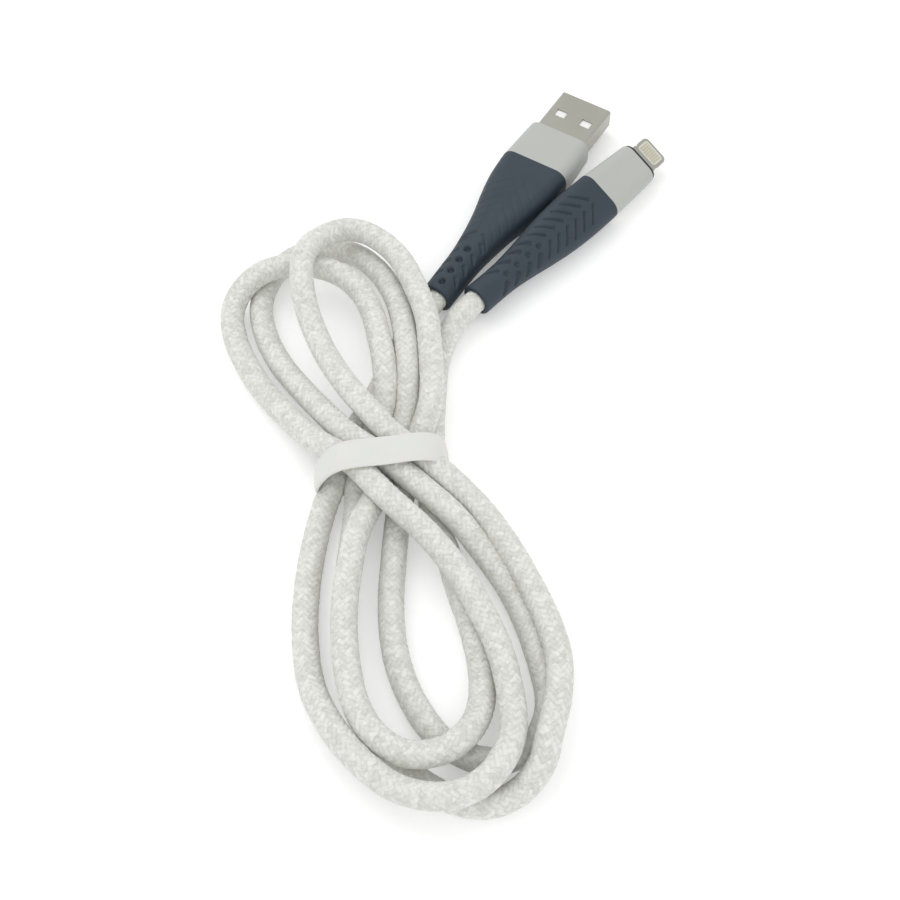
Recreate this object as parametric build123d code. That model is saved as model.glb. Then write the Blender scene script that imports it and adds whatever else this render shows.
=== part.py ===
from build123d import *
import os
from math import cos, radians, sin, tan

# Charging cable: a 1 m braided cord with a rectangular four-contact charger plug on one end and
# a slim eight-contact phone plug on the other, wound in a figure-of-eight hank and held by a tie.
# Millimetres. +Y is the way the charger plug goes in, +Z is up from the table at z = 0.
# The origin is on the table, under the middle of the charger plug.

# ---------------------------------------------------------------- driving sizes: cord
CORD_D = 4.8               # over the braid
JACKET_D = 3.4             # plastic jacket under the braid
WIRE_D = 0.8               # each insulated wire
WIRE_RING_R = 0.85         # the four wires lie on this radius in the jacket
SLIP = 0.02                # gap all round a cord, jacket or wire where something grips it
MOUTH_GRIP = 1.0           # how far the free cord reaches into the boot's mouth

# ---------------------------------------------------------------- driving sizes: both plugs
FIT_GAP = 0.05             # gap all round a rigid piece in its pocket
FERRULE_WALL = 0.4         # crimped steel ring on the end of the braid
FERRULE_L = 5.0
FERRULE_BACK = 17.0        # from the boot's mouth to the ferrule
BRAID_END = 23.0           # the braid stops here, measured from the boot's mouth
JACKET_END = 27.5          # the jacket stops here
MOULD_BACK = 25.5          # the inner mould starts here

# ---------------------------------------------------------------- driving sizes: charger plug
CHARGER_EXIT_Y = -31.5     # the boot's mouth in the model
CHARGER_AXIS_Z = 4.0       # the plug lies with its middle this high
CHARGER_BOOT_L = 40.0
CHARGER_COLLAR_L = 11.0
CHARGER_COLLAR_WALL = (0.8, 0.7)      # at its front, round the inner mould: sides, top and bottom
CHARGER_COLLAR_TAPER = (0.5, 0.4)     # how much more each wall is at its back
CHARGER_MOULD_WALL = (0.4, 0.65)      # inner mould round the shell: sides, top and bottom
CHARGER_MOULD_TAIL = (8.6, 5.2)       # its slimmer back half inside the boot: width, thickness
CHARGER_MOULD_HEAD_L = 4.0            # how far its wide front half reaches into the boot
COLLAR_LIP = 0.9                      # the collar's front wall round the shell
SHELL_W = 12.0
SHELL_H = 4.5
SHELL_WALL = 0.3
SHELL_CORNER = 0.6
SHELL_L = 18.75
SHELL_SHOWN = 12.0
WINDOW = (2.5, 2.0)                   # square latch window: width, length
WINDOW_X = 3.05
WINDOW_SETBACK = 6.2                  # from the shell's front edge to the window's middle
TONGUE_T = 1.9
TONGUE_SETBACK = 0.6
TONGUE_REAR_L = 5.0                   # thick block at the back of the tongue
CONTACT_W = 1.0
CONTACT_T = 0.3
CONTACT_PROUD = 0.1
CONTACT_TAIL_L = 2.6                  # solder tail behind the shell
CHARGER_MOULD = (SHELL_W + 2 * CHARGER_MOULD_WALL[0], SHELL_H + 2 * CHARGER_MOULD_WALL[1])
CHARGER_COLLAR_FRONT = (
    CHARGER_MOULD[0] + 2 * CHARGER_COLLAR_WALL[0], CHARGER_MOULD[1] + 2 * CHARGER_COLLAR_WALL[1]
)
CHARGER_COLLAR_BACK = (
    CHARGER_COLLAR_FRONT[0] + 2 * CHARGER_COLLAR_TAPER[0],
    CHARGER_COLLAR_FRONT[1] + 2 * CHARGER_COLLAR_TAPER[1],
)
CHARGER_BOOT_HALF = (CHARGER_COLLAR_BACK[0] / 2, CHARGER_COLLAR_BACK[1] / 2)
# name, x position, setback of its front end from the tongue's tip, wire colour
CHARGER_CONTACTS = [
    ("power", -3.5, 0.8, "red"),
    ("data_minus", -1.0, 1.8, "white"),
    ("data_plus", 1.0, 1.8, "green"),
    ("ground", 3.5, 0.8, "black"),
]
# boot outline: distance from the mouth, half width, half thickness, corner radius
CHARGER_BOOT = [
    (0.0, 3.3, 3.3, 3.2),
    (6.0, 3.35, 3.35, 3.2),
    (12.0, 3.5, 3.4, 3.2),
    (18.0, 4.2, 3.5, 3.2),
    (23.0, 5.1, 3.6, 3.2),
    (28.0, 6.3, 3.75, 3.1),
    (CHARGER_BOOT_L - 7.0, CHARGER_BOOT_HALF[0] - 0.45, CHARGER_BOOT_HALF[1] - 0.15, 3.0),
    (CHARGER_BOOT_L - 3.0, CHARGER_BOOT_HALF[0] - 0.1, CHARGER_BOOT_HALF[1] - 0.05, 2.9),
    (CHARGER_BOOT_L, CHARGER_BOOT_HALF[0], CHARGER_BOOT_HALF[1], 2.8),
]

# ---------------------------------------------------------------- driving sizes: phone plug
PHONE_EXIT_Y = -28.2       # the boot's mouth in the model
PHONE_AXIS_Z = 4.6
PLUG_NEST = 5.85           # how far the two plugs' widest parts lie past each other, side by side
PHONE_TURN = -11.6                    # degrees from +Y, seen from above
PHONE_ROLL = 24.0                     # degrees about its own length, right side down
PHONE_BOOT_L = 38.0
PHONE_COLLAR_L = 12.6
PHONE_COLLAR_WALL = (0.25, 0.25)      # at its front, round the bezel: sides, top and bottom
PHONE_COLLAR_TAPER = (0.65, 0.3)      # how much more each wall is at its back
PHONE_MOULD_WALL = (0.65, 1.75)       # inner mould round the tab: sides, top and bottom
BEZEL_RIM = (1.2, 2.2)                # bezel round the tab: sides, top and bottom
BEZEL_DEPTH = 1.4                     # set into the collar's front
BEZEL_PROUD = 0.8
TAB_W = 6.7
TAB_T = 1.5
TAB_SHOWN = 6.8
TAB_CORNER = 1.1                      # the tip's corners, seen from above
TAB_ROOT_L = 4.2                      # the tab's root inside the collar
TAB_RIM = 0.7                         # the tab's steel at each side of the contacts
TAB_WINDOW_L = 3.1
TAB_WINDOW_SETBACK = 0.6
INSERT_BLADE = (4.6, 0.8)             # the insert's stem: width, thickness
INSERT_RECESS = 0.05                  # the insert lies this far below the tab's faces
PAD_COUNT = 8
PAD_PITCH = 0.58
PAD_SIZE = (0.4, 2.3, 0.12)
DETENT_R = 1.0                        # latch hollows in the tab's two edges
DETENT_DEPTH = 0.35
DETENT_SETBACK = 3.1
BOARD = (6.0, 9.0, 0.6)
CAN = (7.0, 7.6, 3.4)
CAN_WALL = 0.2
CHIP = (2.6, 2.6, 0.7)
CAPACITOR = (0.9, 0.5, 0.45)
TAB_WINDOW = (TAB_W - 2 * TAB_RIM, TAB_WINDOW_L)
PHONE_MOULD = (TAB_W + 2 * PHONE_MOULD_WALL[0], TAB_T + 2 * PHONE_MOULD_WALL[1])
BEZEL_SIZE = (TAB_W + 2 * BEZEL_RIM[0], TAB_T + 2 * BEZEL_RIM[1])
PHONE_COLLAR_FRONT = (
    BEZEL_SIZE[0] + 2 * PHONE_COLLAR_WALL[0], BEZEL_SIZE[1] + 2 * PHONE_COLLAR_WALL[1]
)
PHONE_COLLAR_BACK = (
    PHONE_COLLAR_FRONT[0] + 2 * PHONE_COLLAR_TAPER[0],
    PHONE_COLLAR_FRONT[1] + 2 * PHONE_COLLAR_TAPER[1],
)
PHONE_BOOT_HALF = (PHONE_COLLAR_BACK[0] / 2, PHONE_COLLAR_BACK[1] / 2)
PHONE_EXIT = (CHARGER_BOOT_HALF[0] + PHONE_BOOT_HALF[0] - PLUG_NEST, PHONE_EXIT_Y, PHONE_AXIS_Z)
PHONE_BOOT = [
    (0.0, 3.3, 3.3, 3.2),
    (5.0, 3.25, 3.25, 3.15),
    (9.0, 3.35, 3.3, 3.15),
    (14.0, 3.85, 3.4, 3.1),
    (19.0, 4.55, 3.45, 3.0),
    (25.0, 5.2, 3.5, 2.9),
    (PHONE_BOOT_L - 7.0, PHONE_BOOT_HALF[0] + 0.05, PHONE_BOOT_HALF[1], 2.8),
    (PHONE_BOOT_L, PHONE_BOOT_HALF[0], PHONE_BOOT_HALF[1], 2.7),
]

# ---------------------------------------------------------------- driving sizes: hank and tie
HANK_TOP = 9.8             # two cords high
HUMP_TOP = 14.6            # three cords high, where the top lobe crosses the others
SHOULDER_TOP = 12.8        # where the top lobe passes over the charger boot's end
WAIST_MID = (12.8, -71.6)
WAIST_TURN = 33.0          # degrees from +X to the line across the waist
WAIST_W = 22.2             # inside the tie
WAIST_H = 9.6
WAIST_CORNER = 3.9
TIE_T = 1.2
TIE_L = 6.4
NOTCH_GAP = 0.4            # clear space round the charger boot's end
CHARGER_TAIL_L = 4.5       # free cord between the boot's mouth and the hank
PHONE_TAIL_STRAIGHT = 4.3  # the phone plug's cord leaves its boot straight for this far
# Then it runs down to the hank through these points.
PHONE_TAIL = [(6.8, -38.3, 3.8), (8.4, -43.9, 2.75)]
ARC_SHARE = 0.45           # share of the shorter run that each arc may use

LOWER_LOBE = [
    (3.5, -76.0), (6.5, -86.5), (11.5, -97.5), (18.0, -107.5), (26.0, -116.0), (35.0, -122.5),
    (44.5, -126.0), (53.5, -125.0), (62.5, -120.5), (69.0, -112.5), (71.5, -103.5),
    (69.5, -95.0), (64.5, -87.0), (57.5, -79.5), (48.5, -73.0), (38.0, -68.0), (28.0, -64.5),
    (21.5, -63.5), (13.0, -67.0),
]
UPPER_LOBE = [
    (3.5, -75.5), (-5.0, -74.0), (-15.0, -71.0), (-24.5, -67.0), (-32.5, -60.5), (-38.0, -53.0),
    (-39.2, -46.0), (-37.0, -40.0), (-35.0, -35.0), (-31.5, -27.0), (-25.5, -22.2),
    (-18.5, -21.2), (-11.5, -22.6), (-5.0, -26.6), (1.5, -33.0), (8.0, -41.0), (14.0, -50.5),
    (19.0, -58.5), (22.0, -65.0), (13.0, -70.0),
]
LOBE_WINDOWS = [
    [(27.0, -84.5), (31.0, -92.0), (37.0, -100.0), (42.5, -105.5), (47.5, -108.0),
     (50.5, -107.0), (50.5, -102.5), (46.0, -95.5), (39.5, -89.5), (32.0, -85.0)],
    [(18.5, -81.5), (22.5, -94.0), (28.0, -103.0), (35.0, -111.0), (42.5, -113.5),
     (39.0, -108.5), (31.5, -101.0), (25.0, -91.0)],
    [(12.0, -84.5), (16.5, -96.5), (22.0, -107.0), (29.5, -115.0), (28.5, -111.5),
     (22.5, -103.0), (17.0, -93.0)],
    [(40.0, -81.3), (50.0, -87.5), (58.5, -96.0), (62.5, -104.5), (61.0, -96.5),
     (53.5, -88.0)],
    [(-20.5, -42.5), (-15.0, -41.5), (-9.0, -45.0), (-2.5, -52.5), (-7.5, -52.0),
     (-15.5, -47.0)],
    [(-27.5, -46.0), (-23.0, -49.5), (-14.5, -56.5), (-5.5, -62.0), (-13.5, -61.0),
     (-22.0, -55.5)],
]


# ---------------------------------------------------------------- plain helpers
def plane_at(y):
    return Plane(origin=(0, y, 0), x_dir=(1, 0, 0), z_dir=(0, 1, 0))


def section(y, width, thick, corner):
    return plane_at(y) * RectangleRounded(width, thick, corner)


def block(y0, y1, width, thick, corner, z=0.0):
    return Pos(0, 0, z) * extrude(section(y0, width, thick, corner), y1 - y0)


def box(x, y0, y1, width, z0, z1):
    return Pos(x, (y0 + y1) / 2, (z0 + z1) / 2) * Box(width, y1 - y0, z1 - z0)


def rod(y0, y1, radius):
    return extrude(plane_at(y0) * Circle(radius), y1 - y0)


def ring(y0, y1, outer_r, inner_r):
    return rod(y0, y1, outer_r) - rod(y0, y1, inner_r)


def boot_skin(outline):
    return loft([section(y, 2 * w, 2 * t, r) for y, w, t, r in outline])


def arc_radii(points):
    radii = []
    for a, b, c in zip(points, points[1:], points[2:]):
        run_in = Vector(*b) - Vector(*a)
        run_out = Vector(*c) - Vector(*b)
        turn = radians(run_in.get_angle(run_out))
        shorter = min(run_in.length, run_out.length)
        radii.append(ARC_SHARE * shorter / tan(turn / 2))
    return radii


def cord_path(points):
    return FilletPolyline(*points, radius=arc_radii(points))


def tube(points, diameter):
    path = cord_path(points)
    start = Plane(origin=path @ 0, z_dir=path % 0)
    return sweep(start * Circle(diameter / 2), path=path)


# ---------------------------------------------------------------- pieces that both plugs have
def wire_start(index):
    angle = radians(45 + 90 * index)
    return WIRE_RING_R * cos(angle), WIRE_RING_R * sin(angle)


def wire_route(index, end_x, end_y, end_z):
    x0, z0 = wire_start(index)
    first_bend = JACKET_END + 2.0
    second_bend = end_y - 4.0
    return [(x0, JACKET_END, z0), (x0, first_bend, z0), (end_x, second_bend, end_z), (end_x, end_y, end_z)]


def wire(route, diameter=WIRE_D):
    radii = [1.6, 1.6]
    path = FilletPolyline(*route, radius=radii)
    start = Plane(origin=path @ 0, z_dir=path % 0)
    return sweep(start * Circle(diameter / 2), path=path)


def braid_end():
    return ring(MOUTH_GRIP, BRAID_END, CORD_D / 2, JACKET_D / 2 + SLIP)


def jacket():
    return rod(MOUTH_GRIP, JACKET_END, JACKET_D / 2)


def ferrule():
    inner = CORD_D / 2 + SLIP
    body = ring(FERRULE_BACK, FERRULE_BACK + FERRULE_L, inner + FERRULE_WALL, inner)
    groove_r = inner + FERRULE_WALL
    for share in (0.3, 0.7):
        y = FERRULE_BACK + share * FERRULE_L
        body -= ring(y - 0.25, y + 0.25, groove_r, groove_r - 0.15)
    return body


def boot_hollows(boot_l, mould_shape):
    cord_bore = rod(-1, BRAID_END + 1.0, CORD_D / 2 + SLIP)
    pocket_r = CORD_D / 2 + SLIP + FERRULE_WALL + SLIP
    ferrule_pocket = rod(FERRULE_BACK, FERRULE_BACK + FERRULE_L, pocket_r)
    jacket_bore = rod(BRAID_END, MOULD_BACK + 0.5, JACKET_D / 2 + SLIP)
    return cord_bore + ferrule_pocket + jacket_bore + mould_shape


def jacket_seat():
    return rod(MOULD_BACK - 0.5, JACKET_END, JACKET_D / 2 + SLIP)


# ---------------------------------------------------------------- charger plug, along its own +Y
SHELL_FRONT = CHARGER_BOOT_L + CHARGER_COLLAR_L + SHELL_SHOWN
SHELL_BACK = SHELL_FRONT - SHELL_L
COLLAR_END = CHARGER_BOOT_L + CHARGER_COLLAR_L
TONGUE_TIP = SHELL_FRONT - TONGUE_SETBACK
SHELL_ROOF = SHELL_H / 2 - SHELL_WALL
TONGUE_FACE = SHELL_ROOF - TONGUE_T
CONTACT_FACE = TONGUE_FACE - CONTACT_PROUD
MOULD_FRONT = COLLAR_END - COLLAR_LIP
CHARGER_MOULD_STEP = CHARGER_BOOT_L - CHARGER_MOULD_HEAD_L


def charger_shell():
    outer = block(SHELL_BACK, SHELL_FRONT, SHELL_W, SHELL_H, SHELL_CORNER)
    inner_corner = SHELL_CORNER - SHELL_WALL / 2
    inner = block(
        SHELL_BACK - 1, SHELL_FRONT + 1, SHELL_W - 2 * SHELL_WALL, SHELL_H - 2 * SHELL_WALL, inner_corner
    )
    body = outer - inner
    y = SHELL_FRONT - WINDOW_SETBACK
    for x in (-WINDOW_X, WINDOW_X):
        body -= box(x, y - WINDOW[1] / 2, y + WINDOW[1] / 2, WINDOW[0], -SHELL_H, SHELL_H)
    return body


def contact_bar(x, setback, gap=0.0):
    back = SHELL_BACK - CONTACT_TAIL_L
    front = TONGUE_TIP - setback
    top = CONTACT_FACE + CONTACT_T
    return box(x, back - gap, front + gap, CONTACT_W + 2 * gap, CONTACT_FACE - gap, top + gap)


def charger_tongue():
    width = SHELL_W - 2 * SHELL_WALL - 2 * FIT_GAP
    top = SHELL_ROOF - FIT_GAP
    body = box(0, SHELL_BACK, TONGUE_TIP, width, TONGUE_FACE, top)
    body += box(0, SHELL_BACK, SHELL_BACK + TONGUE_REAR_L, width, -top, top)
    body &= block(SHELL_BACK, TONGUE_TIP, width, 2 * top, SHELL_CORNER - SHELL_WALL / 2)
    for _, x, setback, _ in CHARGER_CONTACTS:
        body -= contact_bar(x, setback)
    return body


def charger_wire_routes():
    end_z = CONTACT_FACE + CONTACT_T + WIRE_D / 2
    end_y = SHELL_BACK - FIT_GAP
    order = [1, 2, 3, 0]
    return [
        wire_route(order[i], x, end_y, end_z) for i, (_, x, _, _) in enumerate(CHARGER_CONTACTS)
    ]


def charger_mould_skin(gap=0.0):
    tail = block(
        MOULD_BACK - gap, CHARGER_MOULD_STEP + 0.5,
        CHARGER_MOULD_TAIL[0] + 2 * gap, CHARGER_MOULD_TAIL[1] + 2 * gap, 1.6,
    )
    head = block(
        CHARGER_MOULD_STEP - gap, MOULD_FRONT, CHARGER_MOULD[0] + 2 * gap, CHARGER_MOULD[1] + 2 * gap, 1.6
    )
    return tail + head


def charger_mould():
    body = charger_mould_skin()
    body -= jacket_seat()
    body -= block(
        SHELL_BACK - FIT_GAP, MOULD_FRONT + 1, SHELL_W + 2 * FIT_GAP, SHELL_H + 2 * FIT_GAP, SHELL_CORNER
    )
    for route in charger_wire_routes():
        body -= wire(route, WIRE_D + 2 * SLIP)
    for _, x, setback, _ in CHARGER_CONTACTS:
        body -= contact_bar(x, setback, SLIP)
    return body


def charger_collar():
    back = section(CHARGER_BOOT_L, *CHARGER_COLLAR_BACK, 2.8)
    front = section(COLLAR_END, *CHARGER_COLLAR_FRONT, 2.5)
    body = loft([back, front])
    body = fillet(body.edges().filter_by_position(Axis.Y, COLLAR_END - 0.01, COLLAR_END + 0.01), 0.5)
    hollow = block(
        CHARGER_BOOT_L - 1, MOULD_FRONT, CHARGER_MOULD[0] + 2 * FIT_GAP, CHARGER_MOULD[1] + 2 * FIT_GAP, 1.6
    )
    opening = block(
        MOULD_FRONT - 1, COLLAR_END + 1, SHELL_W + 2 * FIT_GAP, SHELL_H + 2 * FIT_GAP, SHELL_CORNER
    )
    return body - hollow - opening


def charger_boot():
    return boot_skin(CHARGER_BOOT) - boot_hollows(CHARGER_BOOT_L, charger_mould_skin(FIT_GAP))


def charger_plug():
    pieces = {
        "charger_shell": charger_shell(),
        "charger_tongue": charger_tongue(),
        "charger_inner_mould": charger_mould(),
        "charger_collar": charger_collar(),
        "charger_boot": charger_boot(),
        "charger_crimp_ferrule": ferrule(),
        "charger_braid_end": braid_end(),
        "charger_cord_jacket": jacket(),
    }
    for (name, x, setback, colour), route in zip(CHARGER_CONTACTS, charger_wire_routes()):
        pieces["charger_contact_" + name] = contact_bar(x, setback)
        pieces["charger_wire_" + colour] = wire(route)
    place = Pos(0, CHARGER_EXIT_Y, CHARGER_AXIS_Z)
    return {name: place * piece for name, piece in pieces.items()}


# ---------------------------------------------------------------- phone plug, along its own +Y
PHONE_COLLAR_END = PHONE_BOOT_L + PHONE_COLLAR_L
BEZEL_FRONT = PHONE_COLLAR_END + BEZEL_PROUD
BEZEL_BACK = BEZEL_FRONT - BEZEL_DEPTH
TAB_TIP = PHONE_COLLAR_END + TAB_SHOWN
TAB_BACK = BEZEL_BACK - TAB_ROOT_L
TAB_WINDOW_FRONT = TAB_TIP - TAB_WINDOW_SETBACK
TAB_WINDOW_BACK = TAB_WINDOW_FRONT - TAB_WINDOW[1]
BOARD_FRONT = TAB_BACK
BOARD_BACK = BOARD_FRONT - BOARD[1]
CAN_FRONT = BOARD_FRONT - 0.6
CAN_BACK = CAN_FRONT - CAN[1]


def tab_outline(gap=0.0):
    length = TAB_TIP - TAB_BACK
    plate = Pos(0, (TAB_TIP + TAB_BACK) / 2) * RectangleRounded(TAB_W + 2 * gap, length, TAB_CORNER)
    plate += Pos(0, TAB_BACK + length / 4) * Rectangle(TAB_W + 2 * gap, length / 2)
    return plate


def tab_frame():
    body = Pos(0, 0, -TAB_T / 2) * extrude(tab_outline(), TAB_T)
    body = fillet(body.edges().group_by(Axis.Z)[-1] + body.edges().group_by(Axis.Z)[0], 0.35)
    mid = (TAB_WINDOW_FRONT + TAB_WINDOW_BACK) / 2
    opening = Pos(0, mid, -TAB_T) * extrude(RectangleRounded(*TAB_WINDOW, 0.6), 2 * TAB_T)
    stem = box(
        0, TAB_BACK - 1, TAB_WINDOW_BACK + 1, INSERT_BLADE[0], -INSERT_BLADE[1] / 2, INSERT_BLADE[1] / 2
    )
    body = body - opening - stem
    for side in (-1, 1):
        x = side * (TAB_W / 2 + DETENT_R - DETENT_DEPTH)
        body -= Pos(x, TAB_TIP - DETENT_SETBACK, 0) * Cylinder(DETENT_R, 2 * TAB_T)
    return body


def pad_set(side):
    top = TAB_T / 2
    depth = PAD_SIZE[2]
    y = (TAB_WINDOW_FRONT + TAB_WINDOW_BACK) / 2
    pads = []
    for i in range(PAD_COUNT):
        x = (i - (PAD_COUNT - 1) / 2) * PAD_PITCH
        pads.append(Pos(x, y, side * (top - depth / 2)) * Box(*PAD_SIZE))
    return pads


def contact_insert():
    mid = (TAB_WINDOW_FRONT + TAB_WINDOW_BACK) / 2
    thick = TAB_T - 2 * INSERT_RECESS
    fill = Pos(0, mid, -thick / 2) * extrude(RectangleRounded(*TAB_WINDOW, 0.6), thick)
    stem = box(
        0, TAB_BACK, TAB_WINDOW_BACK + 0.5, INSERT_BLADE[0], -INSERT_BLADE[1] / 2, INSERT_BLADE[1] / 2
    )
    body = fill + stem
    for pad in pad_set(1) + pad_set(-1):
        body -= pad
    return body


def board():
    return box(0, BOARD_BACK, BOARD_FRONT, BOARD[0], -BOARD[2] / 2, BOARD[2] / 2)


def on_board(x, y, size):
    return Pos(x, y, BOARD[2] / 2 + size[2] / 2) * Box(*size)


def controller_chip():
    return on_board(0.6, (CAN_FRONT + CAN_BACK) / 2 + 0.8, CHIP)


def capacitors():
    y = CAN_BACK + 1.2
    return [on_board(x, y, CAPACITOR) for x in (-1.8, -0.4, 1.0)]


def shield_can():
    body = box(0, CAN_BACK, CAN_FRONT, CAN[0], -CAN[2] / 2, CAN[2] / 2)
    body -= box(
        0, CAN_BACK - 1, CAN_FRONT + 1, CAN[0] - 2 * CAN_WALL, -CAN[2] / 2 + CAN_WALL, CAN[2] / 2 - CAN_WALL
    )
    return body


def phone_wire_routes():
    end_z = BOARD[2] / 2 + WIRE_D / 2
    end_y = BOARD_BACK + 1.0
    xs = (-2.1, -0.7, 0.7, 2.1)
    order = [1, 2, 3, 0]
    return [wire_route(order[i], x, end_y, end_z) for i, x in enumerate(xs)]


def phone_mould():
    body = block(MOULD_BACK, BEZEL_BACK, *PHONE_MOULD, 1.4)
    body -= jacket_seat()
    body -= box(0, BOARD_BACK - FIT_GAP, CAN_BACK, BOARD[0] + 2 * FIT_GAP, -BOARD[2] / 2, BOARD[2] / 2)
    body -= box(
        0, CAN_BACK - FIT_GAP, TAB_BACK, CAN[0] + 2 * FIT_GAP, -CAN[2] / 2 - FIT_GAP, CAN[2] / 2 + FIT_GAP
    )
    body -= box(0, TAB_BACK - 1, BEZEL_BACK + 1, TAB_W, -TAB_T / 2, TAB_T / 2)
    for route in phone_wire_routes():
        body -= wire(route, WIRE_D + 2 * SLIP)
    return body


def phone_collar():
    back = section(PHONE_BOOT_L, *PHONE_COLLAR_BACK, 2.7)
    front = section(PHONE_COLLAR_END, *PHONE_COLLAR_FRONT, 2.4)
    body = loft([back, front])
    body -= block(
        PHONE_BOOT_L - 1, BEZEL_BACK, PHONE_MOULD[0] + 2 * FIT_GAP, PHONE_MOULD[1] + 2 * FIT_GAP, 1.4
    )
    body -= block(
        BEZEL_BACK, PHONE_COLLAR_END + 1, BEZEL_SIZE[0] + 2 * SLIP, BEZEL_SIZE[1] + 2 * SLIP, 2.1
    )
    return body


def phone_bezel():
    body = block(BEZEL_BACK, BEZEL_FRONT, *BEZEL_SIZE, 2.1)
    body = fillet(body.edges().filter_by_position(Axis.Y, BEZEL_FRONT - 0.01, BEZEL_FRONT + 0.01), 0.3)
    return body - box(0, BEZEL_BACK - 1, BEZEL_FRONT + 1, TAB_W, -TAB_T / 2, TAB_T / 2)


def phone_boot():
    mould = block(
        MOULD_BACK - FIT_GAP, PHONE_BOOT_L + 1,
        PHONE_MOULD[0] + 2 * FIT_GAP, PHONE_MOULD[1] + 2 * FIT_GAP, 1.4,
    )
    return boot_skin(PHONE_BOOT) - boot_hollows(PHONE_BOOT_L, mould)


def phone_place():
    return Pos(*PHONE_EXIT) * Rot(0, 0, PHONE_TURN) * Rot(0, PHONE_ROLL, 0)


def phone_plug():
    pieces = {
        "phone_tab_frame": tab_frame(),
        "phone_contact_insert": contact_insert(),
        "phone_contacts_top": Compound(children=pad_set(1)),
        "phone_contacts_bottom": Compound(children=pad_set(-1)),
        "phone_circuit_board": board(),
        "phone_controller_chip": controller_chip(),
        "phone_capacitors": Compound(children=capacitors()),
        "phone_shield_can": shield_can(),
        "phone_bezel": phone_bezel(),
        "phone_collar": phone_collar(),
        "phone_boot": phone_boot(),
        "phone_inner_mould": phone_mould(),
        "phone_crimp_ferrule": ferrule(),
        "phone_braid_end": braid_end(),
        "phone_cord_jacket": jacket(),
    }
    for colour, route in zip(("red", "white", "green", "black"), phone_wire_routes()):
        pieces["phone_wire_" + colour] = wire(route)
    place = phone_place()
    return {name: place * piece for name, piece in pieces.items()}


# ---------------------------------------------------------------- cord: two free tails, hank, tie
def charger_tail():
    y0 = CHARGER_EXIT_Y + MOUTH_GRIP
    y1 = CHARGER_EXIT_Y - CHARGER_TAIL_L
    return Pos(0, 0, CHARGER_AXIS_Z) * rod(y1, y0, CORD_D / 2)


def phone_tail_points():
    mouth = phone_place() * Pos(0, MOUTH_GRIP, 0)
    bend = phone_place() * Pos(0, -PHONE_TAIL_STRAIGHT, 0)
    return [tuple(mouth.position), tuple(bend.position)] + PHONE_TAIL


def phone_tail():
    return tube(phone_tail_points(), CORD_D)


def lobe(points, top):
    outline = Spline(*points, periodic=True)
    return extrude(make_face(outline), top)


def waist_place():
    return Pos(*WAIST_MID, TIE_T + WAIST_H / 2) * Rot(0, 0, WAIST_TURN)


def waist_section(length, grow=0.0):
    corner = WAIST_CORNER + grow
    return waist_place() * block(
        -length / 2, length / 2, WAIST_W + 2 * grow, WAIST_H + 2 * grow, corner
    )


def tie_band():
    return waist_section(TIE_L, TIE_T) - waist_section(TIE_L + 2)


def tie_groove():
    room = TIE_L + 2 * NOTCH_GAP
    slab = waist_place() * Box(60, room, 60)
    return slab - waist_section(room + 2)


def pad(x, y, turn, length, width, top):
    shape = extrude(SlotOverall(length, width), top - 2)
    return Pos(x, y, 2) * Rot(0, 0, turn) * shape


def plug_notch(place, outline):
    skin = loft([section(y, 2 * (w + NOTCH_GAP), 2 * (t + NOTCH_GAP), r) for y, w, t, r in outline[:4]])
    mouth = outline[0]
    cap = block(-NOTCH_GAP, 0.5, 2 * (mouth[1] + NOTCH_GAP), 2 * (mouth[2] + NOTCH_GAP), mouth[3])
    return place * (skin + cap)


def tail_slot():
    y0 = CHARGER_EXIT_Y - CHARGER_TAIL_L
    room = CORD_D + 2 * NOTCH_GAP
    return Pos(0, 0, CHARGER_AXIS_Z) * block(y0, CHARGER_EXIT_Y + 4, room, room, 1.0)


def phone_side_trim():
    end = Vector(*PHONE_TAIL[-1])
    before = Vector(*PHONE_TAIL[-2])
    face = Plane(origin=end, x_dir=(0, 0, 1), z_dir=before - end)
    return extrude(face * Rectangle(CORD_D + 2, CORD_D + 2), 12)


def cord_hank():
    body = waist_section(TIE_L + 6) + lobe(LOWER_LOBE, HANK_TOP)
    body += lobe(UPPER_LOBE, HANK_TOP)
    for points in LOBE_WINDOWS:
        body -= Pos(0, 0, -1) * lobe(points, HANK_TOP + 2)
    body += pad(-26.0, -37.0, 85.0, 24.0, 5.6, HUMP_TOP)
    body += pad(-0.5, -35.5, -45.0, 14.0, 5.6, SHOULDER_TOP)
    body -= tie_groove()
    body -= plug_notch(Pos(0, CHARGER_EXIT_Y, CHARGER_AXIS_Z), CHARGER_BOOT)
    body -= tail_slot()
    body -= phone_side_trim()
    return body


def build():
    pieces = {}
    pieces.update(charger_plug())
    pieces.update(phone_plug())
    pieces["charger_cord_tail"] = charger_tail()
    pieces["phone_cord_tail"] = phone_tail()
    pieces["cord_hank"] = cord_hank()
    pieces["tie_band"] = tie_band()
    return pieces


os.makedirs("parts", exist_ok=True)
for node, shape in build().items():
    export_step(shape, "parts/" + node + ".step")
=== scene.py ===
from math import cos, exp, floor, pi, radians, sin, sqrt

import bmesh
import bpy
from mathutils import Matrix, Vector, noise


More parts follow.
